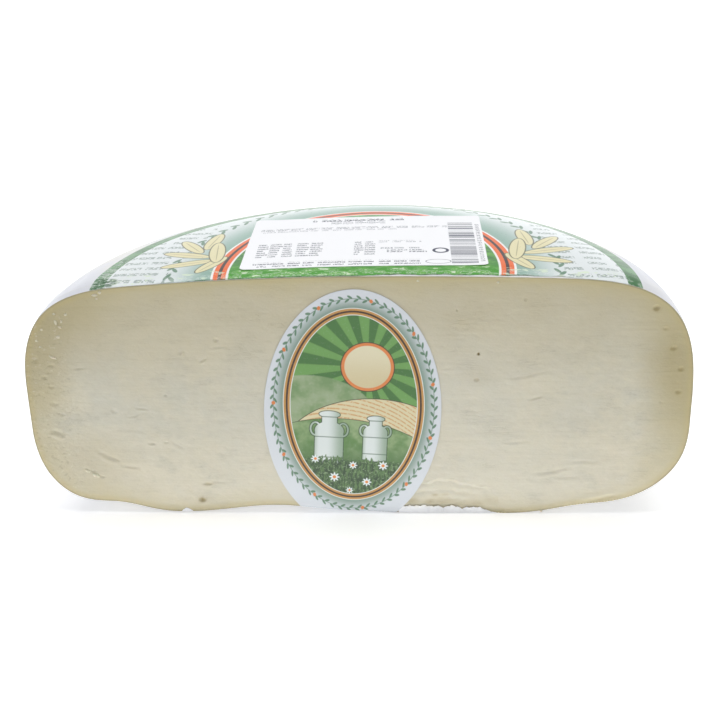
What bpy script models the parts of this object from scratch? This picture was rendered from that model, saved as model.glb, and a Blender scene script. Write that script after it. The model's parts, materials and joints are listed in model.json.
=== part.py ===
"""Half of a pressed goat's cheese wheel, cut face forwards, with its coating and its three labels.

Metres, +Z up. The cut face is upright and looks along -Y, +X is to the right of it, and the
origin is on the surface that the cheese stands on, under the middle of its bounding box.
"""

import math

import bmesh
import bpy
from mathutils import Vector

# The wheel
RADIUS = 0.1245
HEIGHT = 0.0989  # in the middle of the top
EQUATOR_HEIGHT = 0.042  # where the side bulges furthest out
TURN_STEPS = 46  # facets round the half turn

# One side of the cut face differs from the other, as the wheel was pressed unevenly.
# crown: fall from the middle of the top to the rim; shoulder and foot: width of the upper and
# lower rounding, each with its squareness.
LEFT_SIDE = {
    "crown": 0.0072,
    "shoulder": 0.046,
    "shoulder_square": 3.45,
    "foot": 0.048,
    "foot_square": 2.7,
}
RIGHT_SIDE = {
    "crown": 0.0038,
    "shoulder": 0.056,
    "shoulder_square": 3.6,
    "foot": 0.076,
    "foot_square": 2.8,
}

# The knife pulled the top edge down and lifted or broke the bottom edge: (x, lift, half width)
TOP_DROOP = 0.0009
TOP_DROOP_DEPTH = 0.010
EDGE_LIFTS = (
    (-0.093, 0.0041, 0.0100),
    (-0.032, 0.0035, 0.0170),
    (0.004, 0.0006, 0.0080),
    (0.084, 0.0021, 0.0100),
)
EDGE_LIFT_DEPTH = 0.016

# Round the side the wheel is not a perfect circle: (waves in the half turn, depth, phase)
SIDE_WAVES = ((2.0, 0.0006, 0.6), (5.0, 0.0003, 2.1), (9.0, 0.00015, 4.0))

# Stations along the section, from the middle of the underside up to the middle of the top
UNDERSIDE_STATIONS = 9
ROUNDING_STATIONS = 12
TOP_STATIONS = 7

# Larger eyes, torn pits and one broken place in the cut face: (x, z, half width, half height, depth)
PITS = (
    (-0.1147, 0.0348, 0.0030, 0.0016, 0.0012),
    (-0.0960, 0.0245, 0.0045, 0.0012, 0.0010),
    (-0.0580, 0.0128, 0.0028, 0.0009, 0.0010),
    (-0.0611, 0.0058, 0.0017, 0.0013, 0.0016),
    (0.0330, 0.0010, 0.0210, 0.0140, 0.0018),
    (0.1093, 0.0850, 0.0013, 0.0013, 0.0016),
    (0.1130, 0.0770, 0.0011, 0.0010, 0.0012),
    (0.1163, 0.0692, 0.0013, 0.0011, 0.0014),
    (0.1196, 0.0609, 0.0012, 0.0010, 0.0013),
    (0.1192, 0.0517, 0.0012, 0.0011, 0.0013),
)

# Labels: thin sheets that follow what they are stuck to
GAP = 0.0003
LABEL_THICKNESS = 0.0004
ROUND_LABEL_RADIUS = 0.100
ROUND_LABEL_X = 0.0041  # its centre, on the cut edge, to the right of the wheel's axis
STICKER_SIZE = (0.0910, 0.0645)
STICKER_CENTRE = (0.0033, 0.0400)  # from the wheel's axis: to the right, and back
STICKER_TURN = math.radians(1.4)
OVAL_HALF_SIZE = (0.0333, 0.0500)
OVAL_CENTRE = (-0.0012, 0.0432)  # x, and height above the table
OVAL_TILT = math.radians(-3.7)
OVAL_LOWEST = 0.0028  # the rest of the oval is folded under the bottom edge

# The bounding box runs from the face of the oval label to the back of the wheel.
CUT_Y = -(RADIUS - GAP - LABEL_THICKNESS) / 2

COATING_COLOUR = (0.86, 0.87, 0.88)
PASTE_COLOUR = (0.71, 0.66, 0.50)
LABEL_COLOUR = (0.80, 0.86, 0.80)
STICKER_COLOUR = (0.90, 0.90, 0.90)


def clear_scene():
    for thing in list(bpy.data.objects):
        bpy.data.objects.remove(thing)


def material(name, colour, roughness):
    made = bpy.data.materials.new(name)
    made.use_nodes = True
    shader = made.node_tree.nodes["Principled BSDF"]
    shader.inputs["Base Color"].default_value = (*colour, 1.0)
    shader.inputs["Roughness"].default_value = roughness
    shader.inputs["Metallic"].default_value = 0.0
    return made


def smooth_step(value):
    """0 below 0, 1 above 1, and an easy curve between."""
    t = min(1.0, max(0.0, value))
    return t * t * (3.0 - 2.0 * t)


def side_at(angle):
    """The section's sizes at this angle round the wheel: 0 is right, a half turn is left."""
    share = (1.0 + math.cos(angle)) / 2.0
    return {
        name: LEFT_SIDE[name] + (RIGHT_SIDE[name] - LEFT_SIDE[name]) * share
        for name in LEFT_SIDE
    }


def crown_height(side, radius):
    return HEIGHT - side["crown"] * (radius / RADIUS) ** 2


def top_droop(back):
    """How far the top is pulled down at this distance behind the cut."""
    return -TOP_DROOP * max(0.0, 1.0 - back / TOP_DROOP_DEPTH) ** 2


def edge_lift(x, back):
    """How far the underside is lifted near the cut."""
    fade = 1.0 - smooth_step(back / EDGE_LIFT_DEPTH)
    lifts = sum(
        lift * math.exp(-(((x - centre) / spread) ** 2) / 2.0)
        for centre, lift, spread in EDGE_LIFTS
    )
    return fade * lifts


def side_wave(angle):
    """Unevenness of the side. There is none at the cut and at the back, which keep their sizes."""
    waves = sum(
        depth * math.sin(count * angle + phase) for count, depth, phase in SIDE_WAVES
    )
    return waves * math.sin(2.0 * angle)


def section_point(angle, part, along):
    """(radius, height) on the section at this angle. Part is underside, foot, shoulder or top."""
    side = side_at(angle)
    if part == "underside":
        return along * (RADIUS - side["foot"]), 0.0
    if part == "foot":
        turn = along * math.pi / 2.0
        power = 2.0 / side["foot_square"]
        radius = RADIUS - side["foot"] + side["foot"] * math.sin(turn) ** power
        return radius, EQUATOR_HEIGHT * (1.0 - math.cos(turn) ** power)
    if part == "shoulder":
        turn = along * math.pi / 2.0
        power = 2.0 / side["shoulder_square"]
        radius = (
            RADIUS - side["shoulder"] + side["shoulder"] * math.cos(turn) ** power
        )
        rise = crown_height(side, radius) - EQUATOR_HEIGHT
        return radius, EQUATOR_HEIGHT + rise * math.sin(turn) ** power
    radius = (1.0 - along) * (RADIUS - side["shoulder"])
    return radius, crown_height(side, radius)


def wheel_point(angle, part, along):
    """A point on the outside of the half wheel, in the part's frame."""
    radius, height = section_point(angle, part, along)
    from_below = min(1.0, height / EQUATOR_HEIGHT)
    from_above = min(1.0, max(0.0, (HEIGHT - height) / 0.02))
    radius += side_wave(angle) * from_below * from_above
    x, back = radius * math.cos(angle), radius * math.sin(angle)
    if part in ("underside", "foot"):
        height += edge_lift(x, back) * (1.0 - height / EQUATOR_HEIGHT)
    else:
        height += top_droop(back) * smooth_step((height - EQUATOR_HEIGHT) / 0.03)
    return Vector((x, back + CUT_Y, height))


def top_height(x, back):
    """Height of the top of the wheel at x, and at this distance behind the cut."""
    angle, radius = math.atan2(back, x), math.hypot(x, back)
    side = side_at(angle)
    height = crown_height(side, radius)
    flat = RADIUS - side["shoulder"]
    if radius > flat:
        square = side["shoulder_square"]
        across = min(1.0, (radius - flat) / side["shoulder"])
        height = EQUATOR_HEIGHT + (height - EQUATOR_HEIGHT) * (
            1.0 - across**square
        ) ** (1.0 / square)
    return height + top_droop(back) * smooth_step((height - EQUATOR_HEIGHT) / 0.03)


def on_top(x, back, lift):
    """A point this far off the top of the wheel, straight out from its surface."""
    step = 0.0005
    slope_x = (top_height(x + step, back) - top_height(x - step, back)) / (2 * step)
    ahead = max(0.0, back - step)
    slope_y = (top_height(x, back + step) - top_height(x, ahead)) / (back + step - ahead)
    outwards = Vector((-slope_x, -slope_y, 1.0)).normalized()
    return Vector((x, back + CUT_Y, top_height(x, back))) + outwards * lift


def section_stations():
    """(part, share along it) of each point of the section, from the underside to the top."""
    stations = [("underside", i / UNDERSIDE_STATIONS) for i in range(UNDERSIDE_STATIONS)]
    stations += [("foot", i / ROUNDING_STATIONS) for i in range(ROUNDING_STATIONS)]
    stations += [("shoulder", i / ROUNDING_STATIONS) for i in range(ROUNDING_STATIONS)]
    stations += [("top", i / TOP_STATIONS) for i in range(TOP_STATIONS + 1)]
    return stations


def object_from(bm, name, *materials):
    mesh = bpy.data.meshes.new(name)
    bm.to_mesh(mesh)
    bm.free()
    made = bpy.data.objects.new(name, mesh)
    bpy.context.scene.collection.objects.link(made)
    for one in materials:
        mesh.materials.append(one)
    return made


def half_wheel():
    """The section is extruded step by step round the half turn, then the cut is filled."""
    stations = section_stations()
    bm = bmesh.new()
    row = [bm.verts.new(wheel_point(0.0, *station)) for station in stations]
    for first, second in zip(row, row[1:]):
        bm.edges.new((first, second))
    edges = list(bm.edges)
    for step in range(1, TURN_STEPS + 1):
        angle = math.pi * step / TURN_STEPS
        grown = bmesh.ops.extrude_edge_only(bm, edges=edges)["geom"]
        edges = [piece for piece in grown if isinstance(piece, bmesh.types.BMEdge)]
        moved = {vert for edge in edges for vert in edge.verts}
        edges = [edge for edge in edges if set(edge.verts) <= moved]
        follow_section(moved, stations, angle - math.pi / TURN_STEPS, angle)
    bmesh.ops.remove_doubles(bm, verts=list(bm.verts), dist=1e-6)
    rim = [edge for edge in bm.edges if edge.is_boundary]
    bmesh.ops.triangle_fill(bm, edges=rim, use_beauty=True)
    bmesh.ops.recalc_face_normals(bm, faces=list(bm.faces))
    for face in bm.faces:
        cut = all(abs(vert.co.y - CUT_Y) < 1e-6 for vert in face.verts)
        face.material_index = 1 if cut else 0
        face.smooth = not cut
    return object_from(
        bm,
        "half_wheel",
        material("coating", COATING_COLOUR, 0.35),
        material("paste", PASTE_COLOUR, 0.5),
    )


def follow_section(verts, stations, old_angle, new_angle):
    """Moves the new copy of the section from the old angle to the new one."""
    places = [
        (wheel_point(old_angle, *station), wheel_point(new_angle, *station))
        for station in stations
    ]
    for vert in verts:
        old, new = min(places, key=lambda pair: (pair[0] - vert.co).length_squared)
        vert.co = new


def pit_cutter(number, x, z, half_width, half_height, depth):
    """A flattened ball that leaves one eye in the cut face. It is not part of the object."""
    bpy.ops.mesh.primitive_ico_sphere_add(
        subdivisions=2, radius=1.0, location=(x, CUT_Y, z)
    )
    cutter = bpy.context.object
    cutter.name = f"pit_{number}"
    cutter.scale = (half_width, depth, half_height)
    cutter.hide_render = True
    cutter.display_type = "WIRE"
    return cutter


def cut_pits(body):
    cutters = bpy.data.collections.new("pits")
    bpy.context.scene.collection.children.link(cutters)
    for number, pit in enumerate(PITS):
        cutter = pit_cutter(number, *pit)
        for home in list(cutter.users_collection):
            home.objects.unlink(cutter)
        cutters.objects.link(cutter)
    cut = body.modifiers.new("pits", "BOOLEAN")
    cut.operation = "DIFFERENCE"
    cut.operand_type = "COLLECTION"
    cut.collection = cutters
    cut.solver = "EXACT"


def sheet_from_rows(name, rows, colour):
    """A thin sheet over rows of points, given its thickness outwards by Solidify."""
    bm = bmesh.new()
    grid = [[bm.verts.new(point) for point in row] for row in rows]
    for low, high in zip(grid, grid[1:]):
        for i in range(len(low) - 1):
            bm.faces.new((low[i], low[i + 1], high[i + 1], high[i]))
    bmesh.ops.remove_doubles(bm, verts=list(bm.verts), dist=1e-6)
    sheet = object_from(bm, name, material(name, colour, 0.3))
    thicken = sheet.modifiers.new("thickness", "SOLIDIFY")
    thicken.thickness = LABEL_THICKNESS
    thicken.offset = 1.0
    return sheet


def round_label():
    """Half of the round printed label: fans of points from its centre out to its rim."""
    rings, turns = 14, 36
    rows = []
    for ring in range(rings + 1):
        radius = ROUND_LABEL_RADIUS * (ring / rings) ** 0.8
        row = []
        for turn in range(turns + 1):
            angle = math.pi * turn / turns
            x = ROUND_LABEL_X + radius * math.cos(angle)
            row.append(on_top(x, radius * math.sin(angle), GAP))
        rows.append(row)
    return sheet_from_rows("round_label", rows[::-1], LABEL_COLOUR)


def weight_sticker():
    """The white printed sticker, lying on the round label."""
    columns, lines = 10, 7
    width, length = STICKER_SIZE
    lift = 2 * GAP + LABEL_THICKNESS
    rows = []
    for line in range(lines + 1):
        row = []
        for column in range(columns + 1):
            u = width * (column / columns - 0.5)
            v = length * (line / lines - 0.5)
            x = STICKER_CENTRE[0] + u * math.cos(STICKER_TURN) - v * math.sin(STICKER_TURN)
            back = (
                STICKER_CENTRE[1] + u * math.sin(STICKER_TURN) + v * math.cos(STICKER_TURN)
            )
            row.append(on_top(x, back, lift))
        rows.append(row)
    return sheet_from_rows("weight_sticker", rows, STICKER_COLOUR)


def oval_label():
    """The oval printed label, flat on the cut face, straight below where it folds under."""
    corners = 72
    half_width, half_height = OVAL_HALF_SIZE
    bm = bmesh.new()
    outline = []
    for corner in range(corners):
        angle = 2 * math.pi * corner / corners
        u, v = half_width * math.cos(angle), half_height * math.sin(angle)
        x = OVAL_CENTRE[0] + u * math.cos(OVAL_TILT) - v * math.sin(OVAL_TILT)
        z = OVAL_CENTRE[1] + u * math.sin(OVAL_TILT) + v * math.cos(OVAL_TILT)
        outline.append(bm.verts.new((x, CUT_Y - GAP, z)))
    bm.faces.new(outline)
    bmesh.ops.bisect_plane(
        bm,
        geom=list(bm.verts) + list(bm.edges) + list(bm.faces),
        plane_co=(0.0, 0.0, OVAL_LOWEST),
        plane_no=(0.0, 0.0, -1.0),
        clear_outer=True,
    )
    label = object_from(bm, "oval_label", material("oval_label", LABEL_COLOUR, 0.3))
    thicken = label.modifiers.new("thickness", "SOLIDIFY")
    thicken.thickness = LABEL_THICKNESS
    thicken.offset = 1.0
    return label


def main():
    clear_scene()
    cut_pits(half_wheel())
    round_label()
    weight_sticker()
    oval_label()


main()
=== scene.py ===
# %% [markdown]
# # Half a wheel of goat cheese
#
# A pressed wheel of goat cheese is dipped in a thin white coating, labelled on top, and cut in
# half through its middle. The half stands on its round underside with the cut towards us. An
# oval label is stuck on the cut, and a scale sticker on top. This lesson dresses the measured
# solids with the real surfaces: paste, coating, print and paper.
#
# The solids are loaded first. They give the sizes, and everything below is placed in their frame.

# %% Load the measured solids
import json
import math

import bpy
import numpy as np
from mathutils import Matrix, Vector, kdtree, noise

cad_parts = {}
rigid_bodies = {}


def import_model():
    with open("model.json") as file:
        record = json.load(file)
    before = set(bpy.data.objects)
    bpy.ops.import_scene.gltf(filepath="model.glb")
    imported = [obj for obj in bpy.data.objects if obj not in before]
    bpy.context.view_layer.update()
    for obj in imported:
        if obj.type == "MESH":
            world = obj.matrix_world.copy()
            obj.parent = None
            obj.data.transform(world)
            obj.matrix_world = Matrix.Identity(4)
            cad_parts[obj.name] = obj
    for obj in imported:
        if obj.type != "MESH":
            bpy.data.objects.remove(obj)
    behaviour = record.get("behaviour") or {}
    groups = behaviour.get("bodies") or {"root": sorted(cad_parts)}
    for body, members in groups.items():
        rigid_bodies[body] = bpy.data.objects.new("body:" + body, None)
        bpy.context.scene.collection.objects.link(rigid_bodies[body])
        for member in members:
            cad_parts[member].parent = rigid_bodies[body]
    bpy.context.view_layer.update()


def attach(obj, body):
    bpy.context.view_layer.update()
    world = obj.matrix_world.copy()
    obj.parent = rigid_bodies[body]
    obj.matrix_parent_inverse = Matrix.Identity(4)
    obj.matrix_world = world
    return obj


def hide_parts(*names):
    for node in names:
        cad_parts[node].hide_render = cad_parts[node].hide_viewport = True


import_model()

MM = 0.001
CUT_Y = -61.9 * MM

# %% [markdown]
# ## Camera
#
# The outline of the cut, the oval label and the sticker together fix where the camera stood:
# about 43 cm in front of the cut and 26 cm above the table, looking down by 24 degrees, with a
# short telephoto lens. The camera was held a little crooked, so it is also rolled.

# %% Camera
CAMERA_PLACE = Vector((30.6 * MM, CUT_Y - 431.0 * MM, 256.6 * MM))
CAMERA_TURN = math.radians(3.754)
CAMERA_DOWN = math.radians(23.902)
CAMERA_ROLL = math.radians(-1.809)
CAMERA_LENS = 64.03

bpy.ops.object.camera_add()
camera = bpy.context.object
camera.name = "camera"
camera.data.lens = CAMERA_LENS
camera.data.sensor_width = 36.0
camera.data.clip_start = 0.01
camera.matrix_world = (
    Matrix.Translation(CAMERA_PLACE)
    @ Matrix.Rotation(CAMERA_TURN, 4, "Z")
    @ Matrix.Rotation(math.radians(90.0) - CAMERA_DOWN, 4, "X")
    @ Matrix.Rotation(CAMERA_ROLL, 4, "Z")
)
bpy.context.scene.camera = camera

# %% [markdown]
# ## Helpers for modelling
#
# Operators act on whatever is selected, and the loaded solids are selected. So each step first
# selects exactly one object, and then exactly the vertices, edges or faces that it means.


# %% Helpers for selecting and moving
def only(thing):
    """Make this the one selected and active object."""
    for other in list(bpy.context.selected_objects):
        other.select_set(False)
    thing.select_set(True)
    bpy.context.view_layer.objects.active = thing


def read(items, name):
    """A value of three parts from each item, such as the place of every vertex."""
    flat = np.empty(len(items) * 3)
    items.foreach_get(name, flat)
    return flat.reshape(-1, 3)


def points_of(thing):
    return read(thing.data.vertices, "co")


def move_points(thing, points):
    thing.data.vertices.foreach_set("co", np.asarray(points, np.float32).ravel())
    thing.data.update()


def pick(thing, kind, chosen):
    """Select these vertices, edges or faces (a list of yes and no) and nothing else."""
    only(thing)
    mesh = thing.data
    parts = {"VERT": mesh.vertices, "EDGE": mesh.edges, "FACE": mesh.polygons}
    bpy.context.tool_settings.mesh_select_mode = [kind == name for name in parts]
    bpy.ops.object.mode_set(mode="EDIT")
    bpy.ops.mesh.select_all(action="DESELECT")
    bpy.ops.object.mode_set(mode="OBJECT")
    parts[kind].foreach_set("select", np.asarray(chosen, bool))


def edit(*steps):
    """Run some mesh operators in edit mode on what is selected."""
    bpy.ops.object.mode_set(mode="EDIT")
    for step in steps:
        step()
    bpy.ops.object.mode_set(mode="OBJECT")


def apply_modifier(thing, kind, **settings):
    only(thing)
    modifier = thing.modifiers.new(kind.lower(), kind)
    for name, value in settings.items():
        setattr(modifier, name, value)
    bpy.ops.object.modifier_apply(modifier=modifier.name)


def face_normals_out(thing):
    pick(thing, "FACE", [True] * len(thing.data.polygons))
    edit(bpy.ops.mesh.normals_make_consistent)


def face_middles(thing):
    return read(thing.data.polygons, "center")


def smooth(thing):
    """Smooth shading, except where the surface turns by more than 40 degrees."""
    only(thing)
    bpy.ops.object.shade_smooth_by_angle(angle=math.radians(40.0))


# %% [markdown]
# ## The form of the wheel
#
# The wheel is a round that was pressed in a mould, so its section is a rounded rectangle. It
# was pressed unevenly: the left shoulder is tight and the right one is wide and soft. The knife
# pulled the top edge down a little and lifted the bottom edge in places. One function gives the
# surface for every turn round the wheel and every place along the section, and the labels use
# the same function to lie on it.

# %% The form of the wheel
RADIUS = 124.5 * MM
HEIGHT = 98.9 * MM
EQUATOR = 42.0 * MM
SIZES = ("crown", "shoulder", "shoulder_square", "foot", "foot_square")
LEFT_SIDE = dict(zip(SIZES, (7.2, 46.0, 3.45, 48.0, 2.7)))
RIGHT_SIDE = dict(zip(SIZES, (3.8, 56.0, 3.6, 76.0, 2.8)))
TOP_DROOP = 0.9 * MM
TOP_DROOP_DEPTH = 10.0 * MM
EDGE_LIFTS = ((-93.0, 4.1, 10.0), (-32.0, 3.5, 17.0), (4.0, 0.6, 8.0), (84.0, 2.1, 10.0))
EDGE_LIFT_DEPTH = 16.0 * MM
SIDE_WAVES = ((2.0, 0.6, 0.6), (5.0, 0.3, 2.1), (9.0, 0.15, 4.0))


def ease(value):
    """0 below 0, 1 above 1, and an easy curve between."""
    t = np.clip(value, 0.0, 1.0)
    return t * t * (3.0 - 2.0 * t)


def side_at(turn, name):
    """One of the section's sizes at this turn: 0 is the right side, a half turn is the left."""
    share = (1.0 + np.cos(turn)) / 2.0
    size = LEFT_SIDE[name] + (RIGHT_SIDE[name] - LEFT_SIDE[name]) * share
    return size if name.endswith("square") else size * MM


def edge_lift(x, back):
    lifts = sum(
        lift * MM * np.exp(-(((x / MM - centre) / spread) ** 2) / 2.0)
        for centre, lift, spread in EDGE_LIFTS
    )
    return lifts * (1.0 - ease(back / EDGE_LIFT_DEPTH))


def top_droop(back):
    return -TOP_DROOP * np.maximum(0.0, 1.0 - back / TOP_DROOP_DEPTH) ** 2


def section(turn, place):
    """Radius and height. Place runs 0 to 1 along the underside, then the foot, shoulder and top."""
    crown, shoulder, foot = (side_at(turn, name) for name in ("crown", "shoulder", "foot"))
    along = np.clip([place, place - 1.0, place - 2.0, place - 3.0], 0.0, 1.0)
    foot_turn, shoulder_turn = along[1] * math.pi / 2, along[2] * math.pi / 2
    foot_power = 2.0 / side_at(turn, "foot_square")
    shoulder_power = 2.0 / side_at(turn, "shoulder_square")
    cosine = np.abs(np.cos(shoulder_turn))
    radius = np.select(
        [place < 1.0, place < 2.0, place < 3.0],
        [
            along[0] * (RADIUS - foot),
            RADIUS - foot + foot * np.sin(foot_turn) ** foot_power,
            RADIUS - shoulder + shoulder * cosine**shoulder_power,
        ],
        (1.0 - along[3]) * (RADIUS - shoulder),
    )
    top = HEIGHT - crown * (radius / RADIUS) ** 2
    height = np.select(
        [place < 1.0, place < 2.0, place < 3.0],
        [
            0.0 * radius,
            EQUATOR * (1.0 - np.abs(np.cos(foot_turn)) ** foot_power),
            EQUATOR + (top - EQUATOR) * np.sin(shoulder_turn) ** shoulder_power,
        ],
        top,
    )
    return radius, height


def wheel_surface(turn, place):
    """Points on the outside of the wheel: x, distance behind the cut, and height."""
    radius, height = section(turn, place)
    waves = sum(d * MM * np.sin(n * turn + p) for n, d, p in SIDE_WAVES) * np.sin(2.0 * turn)
    free = np.minimum(1.0, height / EQUATOR) * np.clip((HEIGHT - height) / (20.0 * MM), 0.0, 1.0)
    radius = radius + waves * free
    x, back = radius * np.cos(turn), radius * np.sin(turn)
    low = np.where(place < 2.0, edge_lift(x, back) * (1.0 - height / EQUATOR), 0.0)
    high = top_droop(back) * ease((height - EQUATOR) / (30.0 * MM))
    return x, back, height + low + high


def evenly_along(count):
    """Places along the section that are the same distance apart, from underside to top."""
    fine = np.linspace(0.0, 4.0, 8001)
    radius, height = section(np.full_like(fine, math.pi / 2), fine)
    walked = np.concatenate([[0.0], np.cumsum(np.hypot(np.diff(radius), np.diff(height)))])
    return np.interp(np.linspace(0.0, walked[-1], count), walked, fine)


print("the section is", round(float(HEIGHT / MM), 1), "mm high at the middle")

# %% [markdown]
# ## The body: a ball pressed into the mould
#
# A ball has one pole under the cheese and one on top, and its rings run round it as the mould
# does. So the body starts as a UV sphere, loses the half in front of the cut, and each of its
# points is pressed onto the wheel's surface. The steps round the wheel are made finer near the
# cut, where the knife's work shows.

# %% The body
TURN_STEPS = 84
STATIONS = 320
FINER_AT_CUT = 0.30

bpy.ops.mesh.primitive_uv_sphere_add(segments=2 * TURN_STEPS, ring_count=STATIONS, radius=1.0)
cheese = bpy.context.object
cheese.name = "cut_cheese"
pick(cheese, "VERT", points_of(cheese)[:, 1] < -1e-5)
edit(lambda: bpy.ops.mesh.delete(type="VERT"))

ball = points_of(cheese)
turn = np.arctan2(np.abs(ball[:, 1]), ball[:, 0])
turn = turn - FINER_AT_CUT * np.sin(2.0 * turn)
share = np.arcsin(np.clip(ball[:, 2], -1.0, 1.0)) / math.pi + 0.5
place = np.interp(share, np.linspace(0.0, 1.0, STATIONS + 1), evenly_along(STATIONS + 1))
x, back, height = wheel_surface(turn, place)
move_points(cheese, np.column_stack([x, back + CUT_Y, height]))
print("body:", len(cheese.data.vertices), "points")

# %% [markdown]
# The coating is a little lumpy: it was brushed on by hand over a wheel that was never quite
# smooth. Two sizes of noise push the surface in and out by a few tenths of a millimetre, except
# on the flat underside, which rests on the table.


# %% Lumps in the coated surface
def lumps(points, scale, depth):
    """Smooth noise at each point. Scale is the size of a lump, depth how far it stands out."""
    return np.array([noise.noise(Vector(point) / scale) for point in points]) * depth


face_normals_out(cheese)
skin = points_of(cheese)
outwards = read(cheese.data.vertices, "normal")
outwards[skin[:, 1] < CUT_Y + 1e-6, 1] = 0.0
above_table = ease(skin[:, 2] / (12.0 * MM))
below_top = ease((HEIGHT - 1.0 * MM - skin[:, 2]) / (8.0 * MM))
push = lumps(skin, 26.0 * MM, 0.28 * MM) + lumps(skin, 9.0 * MM, 0.08 * MM)
move_points(cheese, skin + outwards * (push * (above_table * below_top))[:, None])

# %% [markdown]
# ## The cut
#
# The cut face carries small relief, so one large face would not do. A grid has even squares, but
# a square outline. So a grid is added, its border is laid along the rim of the cut, and each
# inner point takes its place between the four sides, as if the net were stretched on a frame.
# The border stays inside the rim by the thickness of the coating, and bridging the two edge
# loops makes a thin strip round the cut, where the coating's edge is. The strip takes the paste's
# finish, and painted shade makes it a thin dark line.

# %% A net stretched over the cut
COATING = 0.28 * MM
LOW_CORNER, HIGH_CORNER = 115, 205  # stations on each side where the grid's corners go
GRID_ROWS = HIGH_CORNER - LOW_CORNER
GRID_COLUMNS = 2 * LOW_CORNER

on_rim = np.flatnonzero(np.abs(ball[:, 1]) < 1e-5)
rim_angle = np.arctan2(ball[on_rim, 2], ball[on_rim, 0])
first_corner = -math.pi / 2 - math.pi * (LOW_CORNER + 0.5) / STATIONS
in_order = np.argsort(np.mod(rim_angle - first_corner, 2 * math.pi))
rim = points_of(cheese)[on_rim[in_order]]
inner_rim = rim.copy()
inner_rim[:, 0] *= 1.0 - COATING / RADIUS
inner_rim[:, 2] += (HEIGHT / 2 - inner_rim[:, 2]) * 2.0 * COATING / HEIGHT

corners = np.cumsum([0, GRID_COLUMNS, GRID_ROWS, GRID_COLUMNS])
closed = np.vstack([inner_rim, inner_rim[:1]])
lower = closed[corners[0] : corners[1] + 1]
right = closed[corners[1] : corners[2] + 1]
upper = closed[corners[2] : corners[3] + 1][::-1]
left = closed[corners[3] :][::-1]

bpy.ops.mesh.primitive_grid_add(x_subdivisions=GRID_COLUMNS, y_subdivisions=GRID_ROWS, size=2.0)
net = bpy.context.object
flat = points_of(net)
column = np.rint((flat[:, 0] + 1.0) / 2.0 * GRID_COLUMNS).astype(int)
row = np.rint((flat[:, 1] + 1.0) / 2.0 * GRID_ROWS).astype(int)
u, v = (column / GRID_COLUMNS)[:, None], (row / GRID_ROWS)[:, None]
between_sides = (1 - v) * lower[column] + v * upper[column] + (1 - u) * left[row] + u * right[row]
bottom_corners = (1 - u) * lower[0] + u * lower[-1]
top_corners = (1 - u) * upper[0] + u * upper[-1]
move_points(net, between_sides - (1 - v) * bottom_corners - v * top_corners)


def open_edges(thing):
    """Yes for each edge that only one face uses."""
    sides = np.concatenate([face.edge_keys for face in thing.data.polygons])
    number = {key: index for index, key in enumerate(edge.key for edge in thing.data.edges)}
    uses = np.bincount([number[tuple(key)] for key in sides], minlength=len(number))
    return uses == 1


net_middles = len(net.data.polygons)
only(cheese)
net.select_set(True)
bpy.ops.object.join()
pick(cheese, "EDGE", open_edges(cheese))
edit(bpy.ops.mesh.bridge_edge_loops)
face_normals_out(cheese)
print("the cut has", net_middles, "faces, and open edges left:", int(open_edges(cheese).sum()))

# %% [markdown]
# ## Relief in the cut
#
# The knife tore the paste in small places: round eyes along both rims, slits on the left, and
# at the lower right of the label a shallow piece broke away, down to the coating. Squares of
# a millimetre are too coarse for an eye of two, so the faces round each place are subdivided
# first. Then every point of the cut is pushed back by the depth of what it lies in.

# %% Places where the cut is torn
EYES = (  # x, height, half width, half height, depth, in millimetres
    (109.3, 85.0, 1.5, 1.4, 0.55),
    (113.0, 77.0, 1.3, 0.9, 0.25),
    (116.3, 69.2, 1.4, 1.1, 0.42),
    (119.6, 60.9, 1.3, 1.1, 0.38),
    (119.2, 51.7, 1.3, 1.1, 0.38),
    (113.4, 47.4, 1.0, 0.8, 0.16),
    (45.9, 67.3, 0.55, 0.55, 1.2),
    (45.2, 56.8, 1.2, 1.0, 0.3),
    (-61.1, 5.8, 1.7, 1.3, 0.8),
    (-50.8, 73.5, 1.2, 1.1, 0.45),
    (-91.7, 44.5, 1.6, 1.5, 0.25),
    (-119.5, 66.0, 1.4, 1.9, 0.5),
    (-116.8, 58.5, 1.6, 1.1, 0.35),
    (-114.5, 47.5, 2.0, 1.3, 0.35),
    (-113.5, 63.5, 1.3, 0.9, 0.30),
    (-114.8, 54.5, 1.5, 1.0, 0.35),
    (-112.0, 43.0, 1.5, 1.0, 0.30),
    (-103.0, 18.5, 1.7, 0.9, 0.30),
    (-99.5, 16.0, 1.5, 0.8, 0.30),
    (-71.5, 51.0, 0.9, 0.6, 0.35),
    (-73.0, 31.0, 1.2, 0.7, 0.3),
    (-58.3, 12.9, 2.3, 0.9, 0.45),
    (62.5, 88.5, 0.8, 0.7, 0.4),
    (38.0, 84.5, 0.5, 0.5, 0.4),
)
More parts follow.
